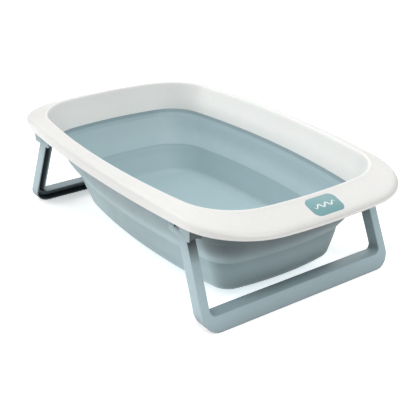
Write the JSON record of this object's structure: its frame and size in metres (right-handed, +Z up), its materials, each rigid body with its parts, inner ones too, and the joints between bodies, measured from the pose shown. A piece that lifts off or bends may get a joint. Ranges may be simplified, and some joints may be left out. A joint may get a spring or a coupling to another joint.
{
  "type": "baby bathtub",
  "caption": "Foldable baby bathtub: bowed white rim, soft grey-blue bowl that folds up into it, and U-shaped leg frames that swing in underneath.",
  "frame": {"origin": "on the ground under the middle of the tub", "axes": "+X along the tub towards the badge end, +Y towards one long side, +Z up"},
  "size_m": [0.83, 0.494, 0.218],
  "materials": {
    "rim_white": "satin moulded polypropylene",
    "bowl_soft": "soft matte elastomer",
    "badge_teal": "satin",
    "leg_plastic": "fine moulded texture",
    "bracket_plastic": "fine moulded texture",
    "latch_plastic": "fine moulded texture",
    "pad_rubber": "matte",
    "seal_rubber": "matte",
    "drain_plastic": "satin",
    "pin_steel": "turned",
    "clip_steel": "stamped",
    "screw_steel": "zinc plated"
  },
  "bodies": {
    "rim": {"rim_shell": "rim_white", "bowl_collar": "bowl_soft", "fold_band": "bowl_soft", "badge_plate": "badge_teal", "bracket_screws": "screw_steel", "hinge_bracket_near_left": "bracket_plastic", "hinge_pin_near_left": "pin_steel", "pin_clip_near_left": "clip_steel", "hinge_bracket_near_right": "bracket_plastic", "hinge_pin_near_right": "pin_steel", "pin_clip_near_right": "clip_steel", "hinge_bracket_far_left": "bracket_plastic", "hinge_pin_far_left": "pin_steel", "pin_clip_far_left": "clip_steel", "hinge_bracket_far_right": "bracket_plastic", "hinge_pin_far_right": "pin_steel", "pin_clip_far_right": "clip_steel"},
    "tray": {"bowl_tray": "bowl_soft", "drain_ring": "drain_plastic", "drain_gasket": "seal_rubber", "drain_nut": "drain_plastic"},
    "plug": {"drain_plug": "drain_plastic", "plug_seal": "seal_rubber"},
    "near_leg": {"near_leg_frame": "leg_plastic", "foot_pad_near_left": "pad_rubber", "foot_pad_near_right": "pad_rubber"},
    "latch_near_left": {"leg_latch_near_left": "latch_plastic"},
    "latch_near_right": {"leg_latch_near_right": "latch_plastic"},
    "far_leg": {"far_leg_frame": "leg_plastic", "foot_pad_far_left": "pad_rubber", "foot_pad_far_right": "pad_rubber"},
    "latch_far_left": {"leg_latch_far_left": "latch_plastic"},
    "latch_far_right": {"leg_latch_far_right": "latch_plastic"}
  },
  "joints": [
    {"name": "bowl_collapse", "type": "slide", "parent": "rim", "child": "tray", "axis": [0, 0, 1], "range_m": [0, 0.122], "deforming": ["fold_band"]},
    {"name": "near_leg_fold", "type": "hinge", "parent": "rim", "child": "near_leg", "pos_m": [0.2595, 0, 0.176], "axis": [0, 1, 0], "range_deg": [0, 94]},
    {"name": "far_leg_fold", "type": "hinge", "parent": "rim", "child": "far_leg", "pos_m": [-0.2595, 0, 0.176], "axis": [0, -1, 0], "range_deg": [0, 94]},
    {"name": "plug_pull", "type": "slide", "parent": "tray", "child": "plug", "axis": [0, 0, 1], "range_m": [0, 0.03]},
    {"name": "latch_press_near_left", "type": "slide", "parent": "rim", "child": "latch_near_left", "axis": [-1, 0, 0], "range_m": [0, 0.005], "stiffness_N_per_m": 300},
    {"name": "latch_press_near_right", "type": "slide", "parent": "rim", "child": "latch_near_right", "axis": [-1, 0, 0], "range_m": [0, 0.005], "stiffness_N_per_m": 300},
    {"name": "latch_press_far_left", "type": "slide", "parent": "rim", "child": "latch_far_left", "axis": [1, 0, 0], "range_m": [0, 0.005], "stiffness_N_per_m": 300},
    {"name": "latch_press_far_right", "type": "slide", "parent": "rim", "child": "latch_far_right", "axis": [1, 0, 0], "range_m": [0, 0.005], "stiffness_N_per_m": 300}
  ],
  "couplings": [
    {"joint": "near_leg_fold", "follows": "bowl_collapse", "rad_per_m": 13.447},
    {"joint": "far_leg_fold", "follows": "bowl_collapse", "rad_per_m": 13.447}
  ]
}
